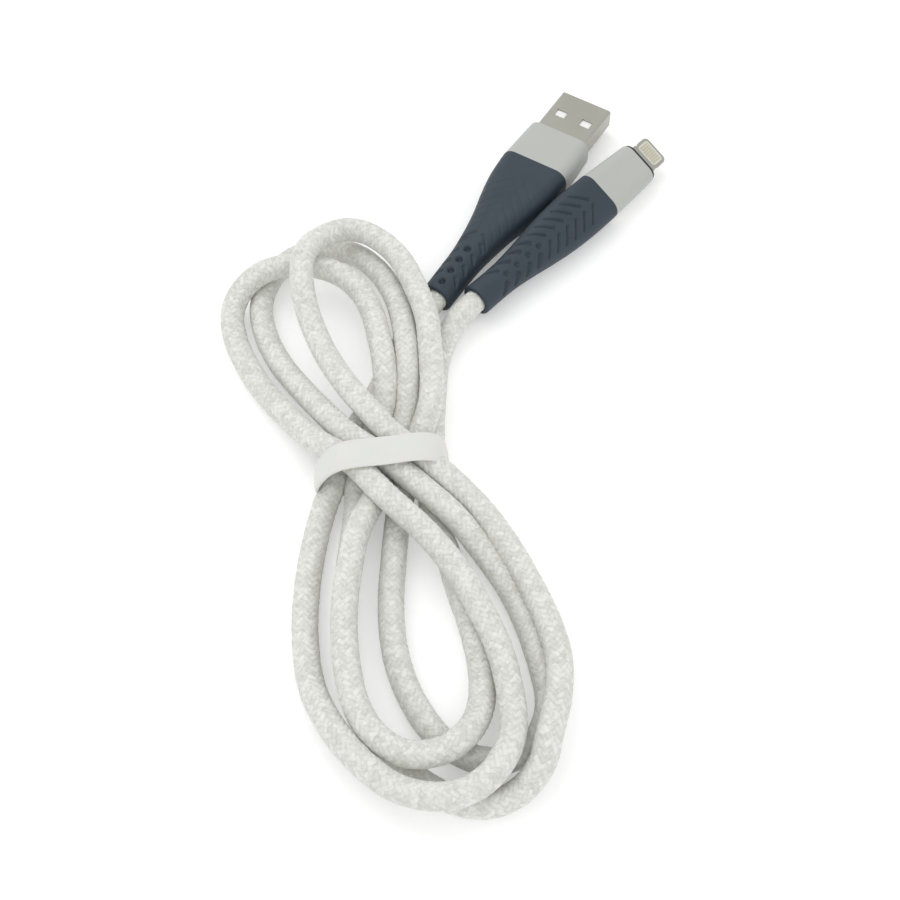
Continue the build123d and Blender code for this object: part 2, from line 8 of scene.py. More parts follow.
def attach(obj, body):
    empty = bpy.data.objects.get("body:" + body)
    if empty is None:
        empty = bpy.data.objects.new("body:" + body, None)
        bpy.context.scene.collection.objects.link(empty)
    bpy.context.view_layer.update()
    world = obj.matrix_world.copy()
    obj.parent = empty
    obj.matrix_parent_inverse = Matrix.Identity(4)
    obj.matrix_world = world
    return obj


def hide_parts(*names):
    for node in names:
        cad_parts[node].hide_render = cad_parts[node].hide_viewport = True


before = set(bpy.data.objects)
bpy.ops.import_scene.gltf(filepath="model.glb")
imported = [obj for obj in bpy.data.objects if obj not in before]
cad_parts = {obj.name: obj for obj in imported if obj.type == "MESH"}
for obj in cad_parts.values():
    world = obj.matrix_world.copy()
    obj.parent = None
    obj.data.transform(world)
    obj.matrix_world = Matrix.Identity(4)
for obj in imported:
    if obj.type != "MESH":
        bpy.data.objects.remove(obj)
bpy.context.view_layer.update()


# ---------------------------------------------------------------- table, light and camera
# The cable lies on a plain white table in soft light from all round, with one large soft lamp
# above on the left. The camera looks down at it from the side of the hank.
table_mesh = bpy.data.meshes.new("table_top")
bm = bmesh.new()
bmesh.ops.create_grid(bm, x_segments=2, y_segments=2, size=1.5)
bm.to_mesh(table_mesh)
bm.free()
table_top = bpy.data.objects.new("table_top", table_mesh)
bpy.context.scene.collection.objects.link(table_top)
table_paint = bpy.data.materials.new("white_table")
table_paint.use_nodes = True
table_shader = table_paint.node_tree.nodes["Principled BSDF"]
table_shader.inputs["Base Color"].default_value = (0.80, 0.80, 0.80, 1)
table_shader.inputs["Emission Color"].default_value = (1.0, 1.0, 1.0, 1)
table_shader.inputs["Emission Strength"].default_value = 0.25
table_shader.inputs["Roughness"].default_value = 0.8
table_mesh.materials.append(table_paint)

studio = bpy.data.worlds.new("studio")
studio.use_nodes = True
studio.node_tree.nodes["Background"].inputs["Color"].default_value = (1.0, 1.0, 1.0, 1)
studio.node_tree.nodes["Background"].inputs["Strength"].default_value = 0.95
bpy.context.scene.world = studio
bpy.context.scene.view_settings.view_transform = "Standard"

for lamp_name, place, size, power in (
    ("soft_box_left", (-0.30, 0.05, 0.55), 0.50, 0.9),
    ("soft_box_right", (0.45, -0.35, 0.50), 0.60, 0.5),
):
    lamp_data = bpy.data.lights.new(lamp_name, "AREA")
    lamp_data.size = size
    lamp_data.energy = power
    lamp = bpy.data.objects.new(lamp_name, lamp_data)
    lamp.location = place
    aim = Vector((0.01, -0.05, 0.0)) - lamp.location
    lamp.rotation_euler = aim.to_track_quat("-Z", "Y").to_euler()
    bpy.context.scene.collection.objects.link(lamp)

camera_data = bpy.data.cameras.new("camera")
camera_data.lens = 58.6
camera_data.sensor_width = 36.0
camera_data.clip_start = 0.01
camera = bpy.data.objects.new("camera", camera_data)
camera.location = (0.0997, -0.1887, 0.2348)
aim = Vector((0.0200, -0.0587, 0.0)) - camera.location
camera.rotation_euler = aim.to_track_quat("-Z", "Y").to_euler()
bpy.context.scene.collection.objects.link(camera)
bpy.context.scene.camera = camera


# ---------------------------------------------------------------- cord
# One metre of round cord in a pale braid of twelve yarns each way, wound as a figure-of-eight hank.
# It starts in the charger plug's boot, goes four times round and ends in the phone plug's boot.
CORD_D = 0.0048
YARNS = 12                       # yarns that lean each way
SIDES_PER_YARN = 3               # mesh faces across one yarn
BRAID_RELIEF = 0.00010           # how deep the grooves between the yarns are
YARN_FUZZ = 0.00007              # how unevenly the spun yarns stand out
FUZZ_SCALE = 1100                # lumps of the spun yarn, in each metre
CELL = pi * CORD_D / YARNS       # one crossing of the braid

CORD_ROUTE = [
    # out of the charger plug, under the upper lobe and into the tie
    (0.0, -0.0305, 0.0040), (0.0, -0.0360, 0.0040), (0.0, -0.0410, 0.0028), (-0.0003, -0.0465, 0.0024),
    (0.0020, -0.0550, 0.0024), (0.0030, -0.0630, 0.0025), (0.0042, -0.0725, 0.0034),
    (0.0070, -0.0790, 0.0034),
    # first turn: round the lower lobe on its outside
    (0.0075, -0.0825, 0.0024), (0.0105, -0.0905, 0.0024), (0.0155, -0.1005, 0.0024),
    (0.0210, -0.1085, 0.0028), (0.0270, -0.1150, 0.0042), (0.0345, -0.1195, 0.0062),
    (0.0415, -0.1220, 0.0072), (0.0485, -0.1230, 0.0073), (0.0550, -0.1210, 0.0073),
    (0.0595, -0.1170, 0.0073), (0.0615, -0.1110, 0.0072), (0.0605, -0.1040, 0.0072),
    (0.0560, -0.0980, 0.0066), (0.0510, -0.0925, 0.0064), (0.0445, -0.0880, 0.0070),
    (0.0370, -0.0835, 0.0075), (0.0275, -0.0800, 0.0084), (0.0190, -0.0785, 0.0094),
    (0.0080, -0.0745, 0.0086),
    # first turn: round the upper lobe, widest loop
    (0.0020, -0.0745, 0.0078), (-0.0055, -0.0720, 0.0048), (-0.0150, -0.0685, 0.0030),
    (-0.0220, -0.0650, 0.0025), (-0.0290, -0.0605, 0.0025), (-0.0335, -0.0555, 0.0034),
    (-0.0340, -0.0505, 0.0056), (-0.0320, -0.0455, 0.0073), (-0.0280, -0.0415, 0.0074),
    (-0.0225, -0.0385, 0.0072), (-0.0160, -0.0380, 0.0066), (-0.0095, -0.0410, 0.0064),
    (-0.0035, -0.0470, 0.0072), (0.0015, -0.0525, 0.0073), (0.0045, -0.0570, 0.0060),
    (0.0065, -0.0615, 0.0044), (0.0085, -0.0705, 0.0035), (0.0105, -0.0765, 0.0035),
    # second turn: on the table round the lower lobe, then up beside the third
    (0.0125, -0.0790, 0.0024), (0.0165, -0.0870, 0.0024), (0.0205, -0.0950, 0.0024),
    (0.0245, -0.1020, 0.0024), (0.0300, -0.1085, 0.0024), (0.0345, -0.1130, 0.0024),
    (0.0400, -0.1160, 0.0024), (0.0460, -0.1175, 0.0024), (0.0520, -0.1185, 0.0024),
    (0.0580, -0.1180, 0.0024), (0.0630, -0.1155, 0.0024), (0.0660, -0.1110, 0.0030),
    (0.0670, -0.1060, 0.0056), (0.0655, -0.1015, 0.0072), (0.0635, -0.0945, 0.0068),
    (0.0600, -0.0880, 0.0061), (0.0550, -0.0830, 0.0056), (0.0490, -0.0785, 0.0052),
    (0.0425, -0.0740, 0.0048), (0.0345, -0.0700, 0.0053), (0.0275, -0.0685, 0.0074),
    (0.0195, -0.0670, 0.0084),
    # second turn: over the others at the upper left, and over the end of the charger plug's boot
    (0.0120, -0.0665, 0.0090), (0.0060, -0.0645, 0.0098), (-0.0010, -0.0615, 0.0086),
    (-0.0100, -0.0565, 0.0076), (-0.0170, -0.0515, 0.0094), (-0.0215, -0.0470, 0.0122),
    (-0.0255, -0.0405, 0.0122), (-0.0250, -0.0345, 0.0110), (-0.0230, -0.0285, 0.0090),
    (-0.0180, -0.0265, 0.0078), (-0.0105, -0.0285, 0.0080), (-0.0030, -0.0345, 0.0098),
    (0.0030, -0.0395, 0.0100), (0.0075, -0.0455, 0.0084), (0.0120, -0.0520, 0.0074),
    (0.0145, -0.0570, 0.0072), (0.0160, -0.0655, 0.0044), (0.0180, -0.0715, 0.0035),
    # third turn: inside of the lower lobe, on the table
    (0.0205, -0.0780, 0.0024), (0.0245, -0.0855, 0.0024), (0.0295, -0.0945, 0.0024),
    (0.0355, -0.1020, 0.0024), (0.0420, -0.1070, 0.0024), (0.0495, -0.1105, 0.0024),
    (0.0565, -0.1105, 0.0024), (0.0615, -0.1075, 0.0024), (0.0640, -0.1020, 0.0024),
    (0.0625, -0.0950, 0.0024), (0.0570, -0.0890, 0.0024), (0.0510, -0.0835, 0.0024),
    (0.0445, -0.0790, 0.0025), (0.0375, -0.0760, 0.0036), (0.0305, -0.0740, 0.0070),
    (0.0225, -0.0725, 0.0078), (0.0140, -0.0710, 0.0084),
    # third turn: middle loop of the upper lobe
    (0.0055, -0.0705, 0.0084), (-0.0010, -0.0680, 0.0066), (-0.0110, -0.0635, 0.0030),
    (-0.0190, -0.0600, 0.0024), (-0.0255, -0.0555, 0.0024), (-0.0300, -0.0505, 0.0024),
    (-0.0325, -0.0440, 0.0024), (-0.0320, -0.0370, 0.0024), (-0.0280, -0.0315, 0.0024),
    (-0.0220, -0.0290, 0.0028), (-0.0145, -0.0305, 0.0032), (-0.0065, -0.0360, 0.0052),
    (0.0000, -0.0430, 0.0072), (0.0045, -0.0490, 0.0072), (0.0080, -0.0545, 0.0054),
    (0.0105, -0.0590, 0.0040), (0.0125, -0.0680, 0.0035), (0.0145, -0.0740, 0.0035),
    # last turn: on top of the second down the left side of the lower lobe, and back up its inside
    (0.0160, -0.0800, 0.0058), (0.0170, -0.0855, 0.0072), (0.0200, -0.0925, 0.0073),
    (0.0240, -0.1005, 0.0072), (0.0290, -0.1075, 0.0072), (0.0345, -0.1135, 0.0072),
    (0.0405, -0.1170, 0.0072), (0.0465, -0.1175, 0.0072), (0.0515, -0.1145, 0.0075),
    (0.0540, -0.1100, 0.0074), (0.0535, -0.1030, 0.0044), (0.0495, -0.0960, 0.0024),
    (0.0440, -0.0900, 0.0024), (0.0375, -0.0845, 0.0024), (0.0320, -0.0790, 0.0024),
    (0.0250, -0.0735, 0.0024), (0.0220, -0.0690, 0.0034), (0.0190, -0.0635, 0.0030),
    # out of the tie and up into the phone plug's boot
    (0.0155, -0.0578, 0.0024), (0.0113, -0.0503, 0.0024), (0.0080, -0.0439, 0.0027),
    (0.0067, -0.0383, 0.0037), (0.00644, -0.03241, 0.0046), (0.0075, -0.0272, 0.0046),
]

route_curve = bpy.data.curves.new("cord_route", "CURVE")
route_curve.dimensions = "3D"
route_curve.resolution_u = 16
route_spline = route_curve.splines.new("NURBS")
route_spline.points.add(len(CORD_ROUTE) - 1)
for point, place in zip(route_spline.points, CORD_ROUTE):
    point.co = (*place, 1)
route_spline.order_u = 3
route_spline.use_endpoint_u = True
route_object = bpy.data.objects.new("cord_route", route_curve)
bpy.context.scene.collection.objects.link(route_object)
line_mesh = bpy.data.meshes.new_from_object(route_object)
cord_line = [v.co.copy() for v in line_mesh.vertices]
bpy.data.objects.remove(route_object)

# evenly spaced rings along the line, each turned with the line so that the braid never twists
cord_length = sum((b - a).length for a, b in zip(cord_line, cord_line[1:]))
ring_count = round(cord_length / CELL * SIDES_PER_YARN)
ring_step = cord_length / ring_count
centres = [cord_line[0]]
walked = 0.0
for a, b in zip(cord_line, cord_line[1:]):
    run = (b - a).length
    while run > 0 and walked + run >= len(centres) * ring_step and len(centres) < ring_count:
        centres.append(a.lerp(b, (len(centres) * ring_step - walked) / run))
    walked += run
centres.append(cord_line[-1])
rings = []
side_way = Vector((1, 0, 0))
for i, centre in enumerate(centres):
    ahead = (centres[min(i + 2, ring_count)] - centres[max(i - 2, 0)]).normalized()
    side_way = (side_way - ahead * side_way.dot(ahead)).normalized()
    rings.append((centre, side_way.copy(), ahead.cross(side_way)))


def braid_height(around, along):
    """0 in a groove, 1 on a yarn's crown. Each yarn goes over two and under two."""
    right_yarn, left_yarn = around + along, around - along
    over = (floor(right_yarn) + floor(left_yarn)) % 4 < 2
    across = right_yarn if over else left_yarn
    return sin(pi * (across - floor(across))) ** 0.5


cord_mesh = bpy.data.meshes.new("charging_cord")
bm = bmesh.new()
sides = YARNS * SIDES_PER_YARN
bmesh.ops.create_grid(bm, x_segments=sides, y_segments=ring_count, size=0.5, calc_uvs=True)
braid_uv = bm.loops.layers.uv.verify()
for face in bm.faces:
    for loop in face.loops:
        column = (loop.vert.co.x + 0.5) * YARNS
        row = (loop.vert.co.y + 0.5) * ring_count / SIDES_PER_YARN
        loop[braid_uv].uv = (column, row)
for v in bm.verts:
    column = round((v.co.x + 0.5) * sides)
    row = round((v.co.y + 0.5) * ring_count)
    centre, across, upward = rings[row]
    height = braid_height(column / SIDES_PER_YARN + 0.001, row / SIDES_PER_YARN + 0.0005)
    radius = CORD_D / 2 + BRAID_RELIEF * (height - 0.75)
    angle = 2 * pi * column / sides
    outward = cos(angle) * across + sin(angle) * upward
    radius += YARN_FUZZ * (noise.noise((centre + radius * outward) * FUZZ_SCALE) - 0.6)
    v.co = centre + radius * outward
bmesh.ops.remove_doubles(bm, verts=bm.verts[:], dist=1e-6)
bmesh.ops.holes_fill(bm, edges=[e for e in bm.edges if e.is_boundary], sides=0)
bmesh.ops.recalc_face_normals(bm, faces=bm.faces[:])
for face in bm.faces:
    face.smooth = True
bm.to_mesh(cord_mesh)
bm.free()
charging_cord = bpy.data.objects.new("charging_cord", cord_mesh)
bpy.context.scene.collection.objects.link(charging_cord)


def fresh_material(name, colour, roughness, metallic=0.0):
    """A material with its own Principled shader, and its nodes ready for detail."""
    material = bpy.data.materials.new(name)
    material.use_nodes = True
    shader = material.node_tree.nodes["Principled BSDF"]
    shader.inputs["Base Color"].default_value = (*colour, 1)
    shader.inputs["Roughness"].default_value = roughness
    shader.inputs["Metallic"].default_value = metallic
    return material, shader


def number_node(tree, operation, *values):
    """A Math node; each value is a number or another node's output."""
    node = tree.nodes.new("ShaderNodeMath")
    node.operation = operation
    for socket, value in zip(node.inputs, values):
        if isinstance(value, (int, float)):
            socket.default_value = value
        else:
            tree.links.new(value, socket)
    return node.outputs[0]


def colour_between(tree, share, low, high):
    """A colour that goes from low to high with the share."""
    node = tree.nodes.new("ShaderNodeMix")
    node.data_type = "RGBA"
    node.inputs[6].default_value = (*low, 1)
    node.inputs[7].default_value = (*high, 1)
    tree.links.new(share, node.inputs[0])
    return node.outputs[2]


def raise_surface(tree, shader, height, distance):
    """Bump on the shader from a height of 0 to 1, that many metres deep."""
    node = tree.nodes.new("ShaderNodeBump")
    node.inputs["Strength"].default_value = 1.0
    node.inputs["Distance"].default_value = distance
    tree.links.new(height, node.inputs["Height"])
    tree.links.new(node.outputs[0], shader.inputs["Normal"])


braid_material, braid_shader = fresh_material("pale_braid", (0.66, 0.665, 0.625), 0.8)
tree = braid_material.node_tree
braid_map = tree.nodes.new("ShaderNodeUVMap")
braid_axes = tree.nodes.new("ShaderNodeSeparateXYZ")
tree.links.new(braid_map.outputs[0], braid_axes.inputs[0])
right_yarn = number_node(tree, "ADD", braid_axes.outputs[0], braid_axes.outputs[1])
left_yarn = number_node(tree, "SUBTRACT", braid_axes.outputs[0], braid_axes.outputs[1])
right_index = number_node(tree, "FLOOR", right_yarn)
left_index = number_node(tree, "FLOOR", left_yarn)
over_two = number_node(tree, "FLOORED_MODULO", number_node(tree, "ADD", right_index, left_index), 4.0)
right_on_top = number_node(tree, "LESS_THAN", over_two, 1.5)
top_yarn = number_node(
    tree, "ADD",
    number_node(tree, "MULTIPLY", right_yarn, right_on_top),
    number_node(tree, "MULTIPLY", left_yarn, number_node(tree, "SUBTRACT", 1.0, right_on_top)),
)
yarn_crown = number_node(tree, "POWER", number_node(
    tree, "SINE", number_node(tree, "MULTIPLY", number_node(tree, "FRACT", top_yarn), pi)), 0.5)
filaments = number_node(tree, "SINE", number_node(tree, "MULTIPLY", top_yarn, 2 * pi * 4))
fuzz = tree.nodes.new("ShaderNodeTexNoise")
fuzz.inputs["Scale"].default_value = 3.0
fuzz.inputs["Detail"].default_value = 3.0
tree.links.new(braid_map.outputs[0], fuzz.inputs["Vector"])
crown_and_filaments = number_node(
    tree, "ADD",
    number_node(tree, "MULTIPLY", yarn_crown, 0.45),
    number_node(tree, "MULTIPLY", filaments, 0.04),
)
surface_height = number_node(
    tree, "ADD", crown_and_filaments, number_node(tree, "MULTIPLY", fuzz.outputs["Fac"], 0.55)
)
raise_surface(tree, braid_shader, surface_height, 0.00012)
# Painted sheen: the braid's colour goes lighter and darker in soft clouds and in one patch for each yarn
# crossing. This stands in for the yarns' sheen catching the light.
cloud = tree.nodes.new("ShaderNodeTexNoise")
cloud.inputs["Scale"].default_value = 1.4
cloud.inputs["Detail"].default_value = 3.0
cloud.inputs["Roughness"].default_value = 0.75
tree.links.new(braid_map.outputs[0], cloud.inputs["Vector"])
yarn_id = tree.nodes.new("ShaderNodeCombineXYZ")
tree.links.new(number_node(tree, "FLOOR", top_yarn), yarn_id.inputs[0])
tree.links.new(number_node(tree, "FLOOR", number_node(tree, "MULTIPLY", over_two, 0.5)), yarn_id.inputs[1])
tree.links.new(number_node(tree, "FLOOR", braid_axes.outputs[1]), yarn_id.inputs[2])
yarn_sheen_patches = tree.nodes.new("ShaderNodeTexWhiteNoise")
tree.links.new(yarn_id.outputs[0], yarn_sheen_patches.inputs["Vector"])
# Painted shade as well: each yarn's crown is coloured lighter than the grooves beside it.
sheen_and_groove_shade = number_node(
    tree, "ADD",
    number_node(tree, "MULTIPLY", yarn_sheen_patches.outputs["Value"], 0.45),
    number_node(tree, "MULTIPLY", yarn_crown, 0.20),
)
painted_light_share = number_node(
    tree, "ADD", sheen_and_groove_shade,
    number_node(tree, "MULTIPLY", number_node(tree, "SUBTRACT", cloud.outputs["Fac"], 0.33), 1.4),
)
braid_colour = colour_between(tree, painted_light_share, (0.49, 0.49, 0.45), (0.77, 0.775, 0.735))
tree.links.new(braid_colour, braid_shader.inputs["Base Color"])
braid_shader.inputs["Sheen Weight"].default_value = 0.15
braid_shader.inputs["Sheen Roughness"].default_value = 0.5
cord_mesh.materials.append(braid_material)
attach(charging_cord, "root")
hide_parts("charger_cord_tail", "phone_cord_tail", "cord_hank")


# ---------------------------------------------------------------- tie
# A soft moulded silicone band stretched round the waist of the hank. It hugs the eight runs of cord
# and its edges roll in a little. Its outline is across the waist and up, before the wall's thickness.
TIE_MIDDLE = (0.0128, -0.0716)
TIE_TURN = radians(33.0)
TIE_WALL = 0.0011
TIE_MID_HEIGHT = 0.0061
TIE_HALF_HEIGHT = 0.009
TIE_SLANT = 0.12                 # the top leans along the hank from one side to the other
TIE_SHIFT = -0.0006
TIE_OUTLINE = [
    (-0.0060, 0.0003), (0.0000, 0.0002), (0.0060, 0.0003), (0.0100, 0.0006), (0.0120, 0.0019),
    (0.0127, 0.0040), (0.0126, 0.0062), (0.0121, 0.0086), (0.0108, 0.0108), (0.0085, 0.0119),
    (0.0052, 0.0121), (0.0018, 0.0119), (-0.0015, 0.0121), (-0.0048, 0.0124), (-0.0076, 0.0119),
    (-0.0098, 0.0103), (-0.0113, 0.0080), (-0.0122, 0.0056), (-0.0124, 0.0034), (-0.0116, 0.0013),
    (-0.0094, 0.0004),
]
# along the hank, and how far the band is drawn in there
TIE_ROWS = [
    (-0.0032, 0.0006), (-0.0030, 0.0001), (-0.0018, 0.0), (0.0, -0.0001), (0.0018, 0.0),
    (0.0030, 0.0001), (0.0032, 0.0006),
]
tie_mesh = bpy.data.meshes.new("silicone_tie")
bm = bmesh.new()
columns, rows = len(TIE_OUTLINE), len(TIE_ROWS) - 1
bmesh.ops.create_grid(bm, x_segments=columns, y_segments=rows, size=0.5)
for v in bm.verts:
    across, up = TIE_OUTLINE[round((v.co.x + 0.5) * columns) % columns]
    along, drawn_in = TIE_ROWS[round((v.co.y + 0.5) * rows)]
    along += (TIE_SLANT * across + TIE_SHIFT) * min(up / 0.006, 1.0)
    inward = 1 - drawn_in / TIE_HALF_HEIGHT
    v.co = (across * inward, along, TIE_MID_HEIGHT + (up - TIE_MID_HEIGHT) * inward)
bmesh.ops.remove_doubles(bm, verts=bm.verts[:], dist=1e-6)
bmesh.ops.transform(
    bm, verts=bm.verts[:], matrix=Matrix.Translation((*TIE_MIDDLE, 0)) @ Matrix.Rotation(TIE_TURN, 4, "Z")
)
bmesh.ops.recalc_face_normals(bm, faces=bm.faces[:])
for face in bm.faces:
    face.smooth = True
bm.to_mesh(tie_mesh)
bm.free()
silicone_tie = bpy.data.objects.new("silicone_tie", tie_mesh)
bpy.context.scene.collection.objects.link(silicone_tie)
wall = silicone_tie.modifiers.new("wall", "SOLIDIFY")
wall.thickness = TIE_WALL
wall.offset = -1.0
roundness = silicone_tie.modifiers.new("roundness", "SUBSURF")
roundness.levels = 3
roundness.render_levels = 3


def object_noise(tree, scale, detail=3.0):
    """Soft noise that stays with the piece, from 0 to 1."""
    place = tree.nodes.new("ShaderNodeTexCoord")
    cloudy = tree.nodes.new("ShaderNodeTexNoise")
    cloudy.inputs["Scale"].default_value = scale
    cloudy.inputs["Detail"].default_value = detail
    tree.links.new(place.outputs["Object"], cloudy.inputs["Vector"])
    return cloudy.outputs["Fac"]


tie_material, tie_shader = fresh_material("milky_silicone", (0.66, 0.665, 0.635), 0.5)
tree = tie_material.node_tree
tie_grain = object_noise(tree, 260.0, 4.0)
tree.links.new(
    colour_between(tree, tie_grain, (0.64, 0.645, 0.61), (0.68, 0.685, 0.66)),
    tie_shader.inputs["Base Color"],
)
raise_surface(tree, tie_shader, tie_grain, 0.00006)
tie_shader.inputs["Subsurface Weight"].default_value = 0.15
tie_shader.inputs["Subsurface Scale"].default_value = 0.001
tie_mesh.materials.append(tie_material)
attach(silicone_tie, "root")
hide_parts("tie_band")


# ---------------------------------------------------------------- boots of both plugs
# Soft rubber sleeves moulded over each plug's back end. They flare from the cord to the collar, and
# holes, slots and leaf-shaped grooves let them bend. Each lies where its CAD boot does.
BOOT_COLUMNS = 128
LIP_ROLL = 0.0003                # how much the mouth's edge is rounded over
LIP_ROLL_L = 0.0004
# the mouth folds in round the cord: radius, distance from the mouth
LIP_RINGS = ((0.00275, -0.0001), (0.00238, 0.0002), (0.00238, 0.0030))
# distance from the mouth, half width, half thickness, corner radius
CHARGER_BOOT = [
    (0.0000, 0.00330, 0.00330, 0.0032), (0.0060, 0.00335, 0.00335, 0.0032), (0.0120, 0.0035, 0.0034, 0.0032),
    (0.0180, 0.00420, 0.00350, 0.0032), (0.0230, 0.00510, 0.00360, 0.0032), (0.0280, 0.0063, 0.00375, 0.0031),
    (0.0330, 0.00725, 0.00385, 0.0030), (0.0370, 0.00760, 0.00395, 0.0029), (0.0400, 0.0077, 0.0040, 0.0028),
]
PHONE_BOOT = [
    (0.0000, 0.00330, 0.00330, 0.0032), (0.0050, 0.00325, 0.00325, 0.00315),
    (0.0090, 0.00335, 0.0033, 0.00315), (0.0140, 0.00385, 0.00340, 0.0031),
    (0.0190, 0.00455, 0.00345, 0.0030), (0.0250, 0.0052, 0.0035, 0.0029),
    (0.0310, 0.00550, 0.00350, 0.0028), (0.0380, 0.00545, 0.0035, 0.0027),
]
# hollows on the top face: from (out from the middle, from the mouth) to the same, radius, depth
CHARGER_HOLLOWS = [((0.0, y), (0.0, y), 0.00068, 0.0009) for y in (0.0024, 0.0057, 0.0090, 0.0122)]
CHARGER_HOLLOWS += [
    ((0.0019, y), (0.0031, y - 0.0012), 0.0005, 0.00035) for y in (0.0047, 0.0080, 0.0113, 0.0146)
]
CHARGER_HOLLOWS += [((0.0009, 0.0170), (0.0034, 0.0145), 0.00035, 0.0003)]
CHARGER_HOLLOWS += [
    ((0.0009, y), (0.0009 + reach, y - reach), 0.00034, 0.00010) for y, reach in (
        (0.0198, 0.0026), (0.0226, 0.0030), (0.0254, 0.0034), (0.0282, 0.0038), (0.0310, 0.0042),
        (0.0338, 0.0045),
    )
]
PHONE_HOLLOWS = [((0.0, y), (0.0, y), 0.00058, 0.0005) for y in (0.0077, 0.0109, 0.0143, 0.0175)]
PHONE_HOLLOWS += [
    ((0.0017, y), (0.0034, y - 0.0017), 0.00052, 0.00055) for y in (0.0066, 0.0100, 0.0133, 0.0164)
]
PHONE_HOLLOWS += [
    ((0.0008, y), (0.0008 + reach, y - reach), 0.00032, 0.00042) for y, reach in (
        (0.0203, 0.0026), (0.0230, 0.0028), (0.0257, 0.0030), (0.0284, 0.0031), (0.0311, 0.0031),
        (0.0338, 0.0031),
    )
]


def outline_at(outline, y):
    """Half width, half thickness and corner radius at y, on a smooth curve through the rows."""
    last = len(outline) - 2
    i = max(k for k in range(last + 1) if outline[k][0] <= y + 1e-9)
    rows = [outline[max(i - 1, 0)], outline[i], outline[i + 1], outline[min(i + 2, last + 1)]]
    t = (y - rows[1][0]) / (rows[2][0] - rows[1][0])
    sizes = []
    for k in (1, 2, 3):
        a, b, c, d = (row[k] for row in rows)
        sizes.append(b + 0.5 * t * (c - a + t * (2 * a - 5 * b + 4 * c - d + t * (3 * (b - c) + d - a))))
    return sizes


def rounded_box_point(half_w, half_t, corner, share):
    """A point that far round a rounded rectangle, from the middle of its top, and its outward way."""
    flat_x, flat_z = half_w - corner, half_t - corner
    bend = pi / 2 * corner
    lengths = [flat_x, bend, 2 * flat_z, bend, 2 * flat_x, bend, 2 * flat_z, bend, flat_x]
    middles = [(flat_x, flat_z), (flat_x, -flat_z), (-flat_x, -flat_z), (-flat_x, flat_z)]
    left = share * sum(lengths)
    for k, length in enumerate(lengths):
        if left <= length or k == 8:
            break
        left -= length
    corner_number = k // 2
    if k % 2:
        turn = left / corner + corner_number * pi / 2
        x, z = middles[corner_number]
        return Vector((x + corner * sin(turn), 0, z + corner * cos(turn))), Vector((sin(turn), 0, cos(turn)))
    turn = corner_number * pi / 2
    way, run = Vector((sin(turn), 0, cos(turn))), Vector((cos(turn), 0, -sin(turn)))
    if k == 0:
        return Vector((0, 0, half_t)) + run * left, way
    x, z = middles[corner_number - 1]
    return Vector((x, 0, z)) + way * corner + run * left, way


def hollow_depth(hollows, out, y):
    """How deep the surface is sunk at a place on the top face."""
    deepest = 0.0
    for (x0, y0), (x1, y1), radius, depth in hollows:
        if abs(y - (y0 + y1) / 2) > 0.006:
            continue
        run_x, run_y = x1 - x0, y1 - y0
        square = run_x * run_x + run_y * run_y
        t = 0.0 if square == 0 else min(max(((out - x0) * run_x + (y - y0) * run_y) / square, 0), 1)
        gap = sqrt((out - x0 - t * run_x) ** 2 + (y - y0 - t * run_y) ** 2)
        thin = 1.0 - 0.45 * t if square else 1.0
        if gap < radius * thin * 1.5:
            deepest = max(deepest, depth * exp(-((gap / (radius * thin)) ** 4)))
    return deepest


def rubber_boot(name, outline, hollows, spacing, place):
    """The sleeve's skin, folded in at its mouth round the cord, and closed against the collar."""
    length = outline[-1][0]
    row_count = round(length / spacing)
    mesh = bpy.data.meshes.new(name)
    bm = bmesh.new()
    bmesh.ops.create_grid(bm, x_segments=BOOT_COLUMNS, y_segments=row_count, size=0.5)
    for v in bm.verts:
        share, y = v.co.x + 0.5, (v.co.y + 0.5) * length
        half_w, half_t, corner = outline_at(outline, y)
        point, way = rounded_box_point(half_w, half_t, corner, share)
        round_way = 2 * (pi * corner + 2 * (half_w - corner) + 2 * (half_t - corner))
        from_top = min(share, 1 - share)
        out = min(from_top, 0.5 - from_top) * round_way
        edge_roll = LIP_ROLL * max(0.0, 1 - y / LIP_ROLL_L) ** 2
        v.co = point + Vector((0, y, 0)) - way * (hollow_depth(hollows, out, y) + edge_roll)
    bmesh.ops.remove_doubles(bm, verts=bm.verts[:], dist=1e-6)
    mouth = [e for e in bm.edges if e.is_boundary and e.verts[0].co.y < length / 2]
    for radius, y in LIP_RINGS:
        grown = bmesh.ops.extrude_edge_only(bm, edges=mouth)["geom"]
        mouth = [g for g in grown if isinstance(g, bmesh.types.BMEdge)]
        for v in (g for g in grown if isinstance(g, bmesh.types.BMVert)):
            flat = Vector((v.co.x, 0, v.co.z)).normalized() * radius
            v.co = Vector((flat.x, y, flat.z))
    bmesh.ops.holes_fill(bm, edges=[e for e in bm.edges if e.is_boundary], sides=0)
    bmesh.ops.recalc_face_normals(bm, faces=bm.faces[:])
    for face in bm.faces:
        face.smooth = len(face.verts) < 5
    bmesh.ops.transform(bm, verts=bm.verts[:], matrix=place)
    bm.to_mesh(mesh)
    bm.free()
    boot = bpy.data.objects.new(name, mesh)
    bpy.context.scene.collection.objects.link(boot)
    return boot


